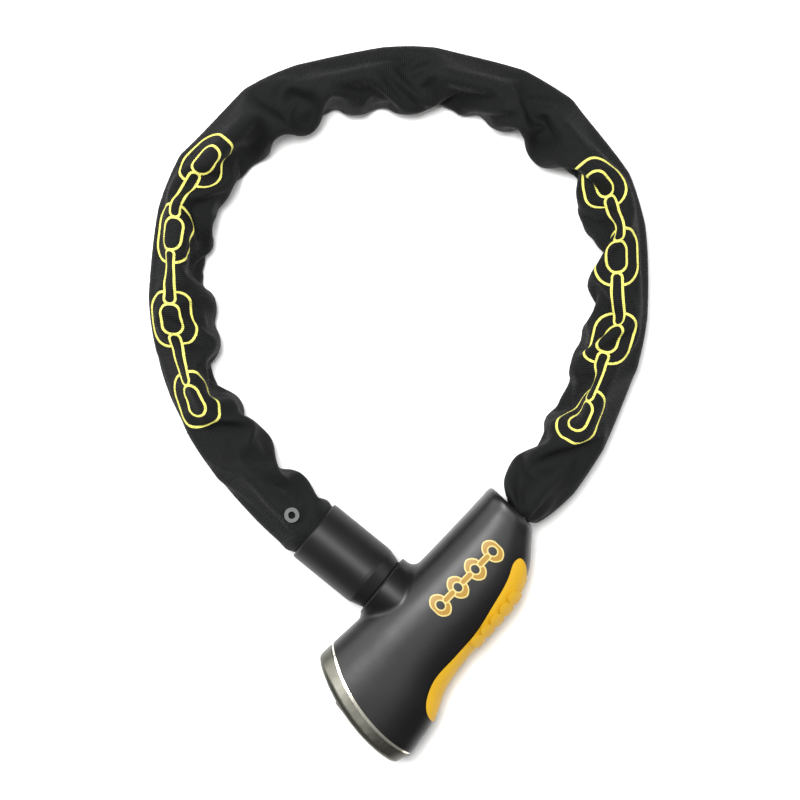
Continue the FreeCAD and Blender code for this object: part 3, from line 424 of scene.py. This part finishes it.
# centreline: straight into the mouth and the ferrule, and a smooth bend at each hinge between
first_dir = (hinges[2] - hinges[1]).normalized()
last_dir = (hinges[21] - hinges[20]).normalized()
line = [level(hinges[1] + first_dir * MOUTH_TUCK, 2)]
for number in range(2, LINK_COUNT):
    a, c = link_middle(number), link_middle(number + 1)
    if number == LINK_COUNT - 1:
        c = level(hinges[20] + last_dir * FERRULE_TUCK, LINK_COUNT)
    b = level(hinges[number], number).lerp(level(hinges[number], number + 1), 0.5)
    for step in range(24):
        t = step / 24
        line.append(a * (1 - t) ** 2 + b * (2 * t * (1 - t)) + c * t * t)
line.append(c)
line = np.array(line)
travel = np.r_[0, np.cumsum(np.linalg.norm(np.diff(line, axis=0), axis=1))]
RINGS = int(travel[-1] / RING_STEP) + 1
stations = np.linspace(0, travel[-1], RINGS)
spine = np.stack([np.interp(stations, travel, line[:, k]) for k in range(3)], 1)
ahead = np.gradient(spine, axis=0)
ahead /= np.linalg.norm(ahead, axis=1)[:, None]
outward = np.stack([ahead[:, 1], -ahead[:, 0], 0 * ahead[:, 0]], 1)
outward /= np.linalg.norm(outward, axis=1)[:, None]
turns = 2 * np.pi * np.arange(AROUND) / AROUND

# the cloth starts as an open tube, pinched at the mouth and narrowed at the ferrule
wide = np.full(RINGS, ROUND / (2 * np.pi))
high = wide.copy()
wide = np.minimum(wide, np.interp(stations, NECK_AT, NECK_WIDE))
high = np.minimum(high, np.interp(stations, NECK_AT, NECK_HIGH))
tuck = np.clip((stations[-1] - stations) / TUCK_LENGTH, 0, 1)
wide = FERRULE_BORE + (wide - FERRULE_BORE) * tuck
high = FERRULE_BORE + (high - FERRULE_BORE) * tuck
up = np.array([0.0, 0.0, 1.0])
cloth = (spine[:, None] + outward[:, None] * (wide[:, None] * np.cos(turns))[..., None]
         + up * (high[:, None] * np.sin(turns))[..., None])
RIPPLE_OUT = 0.00025          # uneven start, so that the folds don't all form alike
RIPPLE_UP = 0.0002
draw = np.random.default_rng(7)
waves = sum(np.sin(stations[:, None] * k + np.cos(turns)[None] * draw.uniform(1, 3) + draw.uniform(0, 6))
            for k in draw.uniform(150, 420, 6))
cloth += (outward[:, None] * (waves * RIPPLE_OUT * np.cos(turns))[..., None]
          + up * (waves * RIPPLE_UP)[..., None])
# its ends are held by the mouth and the ferrule
pinned = np.zeros((RINGS, AROUND), bool)
pinned[:3] = True
pinned[-4:] = True

# each ring of cloth feels its three nearest links
link_places = np.array([link_middle(n + 1) for n in range(LINK_COUNT)])
link_axes = np.array([(hinges[n + 1] - hinges[n]).normalized() for n in range(LINK_COUNT)])
link_axes[:, 2] = 0
link_axes /= np.linalg.norm(link_axes, axis=1)[:, None]
near = np.argsort(np.linalg.norm(spine[:, None] - link_places[None], axis=2), axis=1)[:, :3]


def push_off_links(points):
    """Moves cloth out of the links, each a filled slab with rounded edges."""
    for which in range(3):
        index = near[:, which]
        axis = link_axes[index][:, None]
        rel = points - link_places[index][:, None]
        along = (rel * axis).sum(2)
        side = rel[..., 0] * -axis[..., 1] + rel[..., 1] * axis[..., 0]
        lift = rel[..., 2]
        flat = (index % 2 == 0)[:, None]
        broad, thin = np.where(flat, side, lift), np.where(flat, lift, side)
        past = np.sign(along) * np.maximum(np.abs(along) - LINK_STRAIGHT, 0)
        from_line = np.hypot(past, broad) + 1e-9
        beyond = np.maximum(from_line - LINK_SIDE, 0)
        far = np.hypot(beyond, thin) + 1e-9
        depth = np.maximum(BAR + CLOTH - far, 0)
        # direction out of the slab, in the link's own three directions
        out_along = np.where(beyond > 0, past / from_line * beyond / far, 0)
        out_broad = np.where(beyond > 0, broad / from_line * beyond / far, 0)
        out_thin = thin / far
        out_side, out_lift = np.where(flat, out_broad, out_thin), np.where(flat, out_thin, out_broad)
        shift = out_along[..., None] * axis
        shift = shift + out_side[..., None] * np.stack([-axis[..., 1], axis[..., 0], 0 * axis[..., 0]], -1)
        points += depth[..., None] * (shift + out_lift[..., None] * up)


number_of = np.arange(RINGS * AROUND).reshape(RINGS, AROUND)
along_rest = RING_STEP * FULLNESS
around_rest = ROUND / AROUND
slant_rest = math.hypot(along_rest, around_rest)


def pairs(reach_along, reach_around, rest, give, only_push=False):
    """Sets of cloth points held a distance apart; no point is in a set twice."""
    groups = []
    start = number_of[:RINGS - reach_along] if reach_along else number_of
    end = np.roll(number_of, -reach_around, axis=1)[reach_along:]
    if reach_along:
        phase = (np.arange(RINGS - reach_along) // reach_along) % 2
        for p in (0, 1):
            groups.append((start[phase == p].ravel(), end[phase == p].ravel(), rest, give, only_push))
    else:
        phase = (np.arange(AROUND) // reach_around) % 2
        for p in (0, 1):
            groups.append((start[:, phase == p].ravel(), end[:, phase == p].ravel(), rest, give, only_push))
    return groups


# cloth that hardly stretches along or round, shears a little, and is stiff to sharp creases
holds = (pairs(1, 0, along_rest, 0.9) + pairs(0, 1, around_rest, 0.9)
         + pairs(1, 1, slant_rest, 0.25) + pairs(1, -1, slant_rest, 0.25)
         + pairs(2, 0, 2 * along_rest, 0.25, True) + pairs(0, 2, 2 * around_rest * 0.99, 0.2, True)
         + pairs(5, 0, 5 * along_rest * 0.93, 0.08, True) + pairs(0, 5, 5 * around_rest * 0.86, 0.08, True))

# folds, given one by one: how far along the sleeve (0 to 1), turn round it (0 outside, 90 top, 180
# inside), length, depth, and slant of each, as a dent pressed in while the cloth settles
FOLDS = [(0.452, 100, 46, 4.5, 18), (0.520, 75, 24, 2.5, -12), (0.585, 95, 34, 3.0, 40),
         (0.655, 120, 30, 4.0, 65), (0.700, 160, 30, 4.5, 20), (0.745, 150, 24, 3.0, -20),
         (0.845, 165, 26, 3.5, 10), (0.905, 90, 34, 3.0, -35), (0.955, 80, 26, 2.5, 25),
         (0.375, 70, 32, 3.0, 50), (0.300, 150, 30, 4.0, -25), (0.245, 165, 26, 3.5, 15),
         (0.190, 160, 26, 3.0, -15), (0.115, 100, 36, 4.0, 30), (0.030, 85, 44, 7.0, 48)]
share = stations / stations[-1]
MM = 0.001
FOLD_HALF_WIDTH = 3.2
dent = np.zeros((RINGS, AROUND))
for at, turn, length, depth, slant in FOLDS:
    along_fold = (share - at)[:, None] * stations[-1]
    around_fold = ((np.degrees(turns)[None] - turn + 180) % 360 - 180) / 360 * ROUND
    lean = math.radians(slant)
    across = along_fold * math.cos(lean) + around_fold * math.sin(lean)
    length_wise = around_fold * math.cos(lean) - along_fold * math.sin(lean)
    fall_off = (across / (FOLD_HALF_WIDTH * MM)) ** 2 + (length_wise / (length * MM / 2)) ** 4
    dent += depth * MM * np.exp(-fall_off)

# the eyelet grips the cloth, which is drawn up to its underside
eyelet_low, eyelet_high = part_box("sleeve_eyelet")
eyelet_middle = (eyelet_low + eyelet_high) / 2
gripped = np.hypot(cloth[..., 0] - eyelet_middle.x, cloth[..., 1] - eyelet_middle.y) < EYELET_GRIP
gripped &= cloth[..., 2] > spine[:, None, 2]

SETTLE_STEPS = 420
MOTION_KEPT = 0.93            # share of the cloth's motion kept from one step to the next
SAG = 1.2e-6                  # pull of its weight in a step
DENT_PRESS = 0.02             # share of a dent pressed in at a step
DENT_UNTIL = 0.6              # share of the steps that the dents are pressed in for
flat_cloth = cloth.reshape(-1, 3)
held = pinned.ravel()
held_at = flat_cloth[held].copy()
before = flat_cloth.copy()
for step in range(SETTLE_STEPS):
    moved = flat_cloth - before
    before[:] = flat_cloth
    flat_cloth += MOTION_KEPT * moved
    flat_cloth[:, 2] -= SAG
    if step < SETTLE_STEPS * DENT_UNTIL:
        inward = spine[:, None] - cloth
        inward /= np.linalg.norm(inward, axis=2)[..., None]
        cloth += inward * (dent * DENT_PRESS)[..., None]
    for a, b, rest, give, only_push in holds:
        gap = flat_cloth[b] - flat_cloth[a]
        length = np.sqrt((gap * gap).sum(1)) + 1e-12
        stretch = (length - rest) / length
        if only_push:
            stretch = np.minimum(stretch, 0)
        gap *= (0.5 * give * stretch)[:, None]
        flat_cloth[a] += gap
        flat_cloth[b] -= gap
    push_off_links(cloth)
    np.maximum(flat_cloth[:, 2], CLOTH, out=flat_cloth[:, 2])
    cloth[gripped, 2] = eyelet_low.z + EYELET_SEAT
    flat_cloth[held] = held_at

quads = []
for i in range(RINGS - 1):
    for j in range(AROUND):
        k = (j + 1) % AROUND
        quads.append((number_of[i, j], number_of[i, k], number_of[i + 1, k], number_of[i + 1, j]))
whole = bpy.data.meshes.new("sleeve_whole")
whole.from_pydata(flat_cloth.tolist(), [], [tuple(map(int, q)) for q in quads])
uv = whole.uv_layers.new(name="cloth_metres")
uv_values = np.zeros((len(whole.loops), 2), np.float32)
corner = 0
for i in range(RINGS - 1):
    for j in range(AROUND):
        for di, dj in ((0, 0), (0, 1), (1, 1), (1, 0)):
            uv_values[corner] = ((i + di) * along_rest, (j + dj) * around_rest)
            corner += 1
uv.data.foreach_set("uv", uv_values.ravel())
ring_mark = whole.attributes.new("ring", "FLOAT", "POINT")
ring_mark.data.foreach_set("value", np.repeat(np.arange(RINGS, dtype=np.float32), AROUND))
whole_object = bpy.data.objects.new("sleeve_whole", whole)
bpy.context.scene.collection.objects.link(whole_object)
rounding = whole_object.modifiers.new("rounding", "SUBSURF")
rounding.levels = rounding.render_levels = 1
bpy.context.view_layer.update()
fine = bpy.data.meshes.new_from_object(whole_object.evaluated_get(bpy.context.evaluated_depsgraph_get()))
fine.shade_smooth()

# Ribbed nylon, woven with its ribs round the tube. They soften the light along the folds and
# keep the cloth from looking like plastic. A rib is drawn every 1.1 mm, coarser than it is, so
# that it shows.
RIB_MM = 1.1
sleeve_material, tree = finish_of("ribbed_nylon_cloth")
cloth_uv = add(tree, "ShaderNodeUVMap", uv_map="cloth_metres")
split = add(tree, "ShaderNodeSeparateXYZ", Vector=cloth_uv)
rib = add(tree, MATH, split.outputs["X"], 2 * math.pi * 1000 / RIB_MM, operation="MULTIPLY")
rib = add(tree, MATH, rib, operation="SINE")
yarn = add(tree, MATH, split.outputs["Y"], 2 * math.pi * 1000 / (RIB_MM * 0.7), operation="MULTIPLY")
yarn = add(tree, MATH, yarn, operation="SINE")
weave = add(tree, MATH, yarn, 0.3, rib, operation="MULTIPLY_ADD")
# fuzz 0.7 mm across, and worn patches 17 mm across
fuzz = add(tree, "ShaderNodeTexNoise", Vector=cloth_uv, Scale=1400.0, Detail=3.0)
weave = add(tree, MATH, fuzz.outputs["Fac"], 1.2, weave, operation="MULTIPLY_ADD")
patch = add(tree, "ShaderNodeTexNoise", Vector=cloth_uv, Scale=60.0, Detail=4.0)
mix = add(tree, MATH, weave, 0.12, operation="MULTIPLY")
mix = add(tree, MATH, patch.outputs["Fac"], 0.35, mix, operation="MULTIPLY_ADD")
black = add(tree, "ShaderNodeValToRGB", Fac=mix)
black.color_ramp.elements[0].color = srgb("#020303")
black.color_ramp.elements[1].color = srgb("#0a0d0d")
ribbing = add(tree, "ShaderNodeBump", Strength=0.5, Distance=0.0003, Height=weave)
cloth_skin = add(tree, "ShaderNodeBsdfPrincipled", Roughness=0.7, Specular_IOR_Level=0.22, Sheen_Weight=0.0,
                  Sheen_Roughness=0.35, Normal=ribbing)
close(tree, cloth_skin)

# A chain drawn in pale yellow outline is printed on the cloth in two bands of seven links. The
# printed line is 1.3 mm thick and a little worn on the ribs.
PRINT_LINE = 0.0013
PRINT_TALL = 0.0245
PRINT_STEP = 0.0219
PRINTS = 7
# how far along the cloth each band starts, and its middle line's turn round the tube
PRINT_BANDS = [(0.054, 104), (0.431, 77)]

rows = []
for start, turn in PRINT_BANDS:
    x = add(tree, MATH, split.outputs["X"], start, operation="SUBTRACT")
    y = add(tree, MATH, split.outputs["Y"], turn / 360 * ROUND, operation="SUBTRACT")
    rows.append(drawn_chain(tree, x, y, PRINT_STEP, PRINT_TALL, PRINT_LINE, PRINTS)[0])
printed = add(tree, MATH, rows[0], rows[1], operation="MAXIMUM")
ink = add(tree, "ShaderNodeValToRGB", add(tree, MATH, weave, 0.15, 0.4, operation="MULTIPLY_ADD"))
ink.color_ramp.elements[0].color = srgb("#c4be4d")
ink.color_ramp.elements[1].color = srgb("#e4df7e")
worn = add(tree, MATH, fuzz.outputs["Fac"], 0.36, operation="GREATER_THAN")
cover = add(tree, MATH, printed, worn, operation="MULTIPLY")
dyed = add(tree, "ShaderNodeMix", cover, data_type="RGBA", i6=black, i7=ink)
tree.links.new(dyed.outputs[2], cloth_skin.inputs["Base Color"])

# the tube is parted at the middle of each link into separate pieces
normals = np.zeros((len(fine.vertices), 3), np.float32)
fine.vertex_normals.foreach_get("vector", normals.ravel())
points = np.zeros((len(fine.vertices), 3), np.float32)
fine.vertices.foreach_get("co", points.ravel())
marks = np.zeros(len(fine.vertices), np.float32)
fine.attributes["ring"].data.foreach_get("value", marks)
faces = np.zeros(len(fine.loops), np.int32)
fine.loops.foreach_get("vertex_index", faces)
faces = faces.reshape(-1, 4)
fine_uv = np.zeros(len(fine.loops) * 2, np.float32)
fine.uv_layers["cloth_metres"].data.foreach_get("uv", fine_uv)
fine_uv = fine_uv.reshape(-1, 4, 2)
face_ring = marks[faces].mean(1)
cuts = [-1.0]
for number in range(3, LINK_COUNT):
    at = np.argmin(np.linalg.norm(spine - np.array(link_middle(number)), axis=1))
    cuts.append(float(at))
cuts.append(float(RINGS))
for piece_number in range(2, LINK_COUNT):
    low_ring, high_ring = cuts[piece_number - 2], cuts[piece_number - 1]
    chosen = (face_ring > low_ring) & (face_ring < high_ring)
    used, local = np.unique(faces[chosen], return_inverse=True)
    mesh = bpy.data.meshes.new("sleeve_cloth_%02d" % (piece_number - 1))
    mesh.from_pydata(points[used].tolist(), [], local.reshape(-1, 4).tolist())
    mesh.uv_layers.new(name="cloth_metres").data.foreach_set("uv", fine_uv[chosen].ravel())
    mesh.shade_smooth()
    mesh.normals_split_custom_set_from_vertices(normals[used].tolist())
    mesh.materials.append(sleeve_material)
    piece = bpy.data.objects.new(mesh.name, mesh)
    bpy.context.scene.collection.objects.link(piece)
    a = link_middle(piece_number)
    b = link_middle(piece_number + 1)
    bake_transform(piece)
    if piece_number % 2 == 0:
        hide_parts("sleeve_%02d" % (piece_number // 2))
bpy.data.objects.remove(whole_object)


# ---- Eyelet
# The rolled rivet that pins the sleeve's last fold over the ferrule's link, in dark grey
# enamelled steel. Its satin face is only a little paler than the cloth.

eyelet_material, tree = finish_of("enamelled_eyelet_grey")
place = add(tree, "ShaderNodeTexCoord").outputs["Object"]
# chips under 2 mm across
chips = add(tree, "ShaderNodeTexNoise", Vector=place, Scale=600.0, Detail=3.0)
enamel = add(tree, "ShaderNodeValToRGB", Fac=chips.outputs["Fac"])
enamel.color_ramp.elements[0].color = srgb("#15191a")
enamel.color_ramp.elements[1].color = srgb("#262b2c")
close(tree, add(tree, "ShaderNodeBsdfPrincipled", Base_Color=enamel.outputs["Color"], Roughness=0.4))
dress(eyelet_material, "sleeve_eyelet")
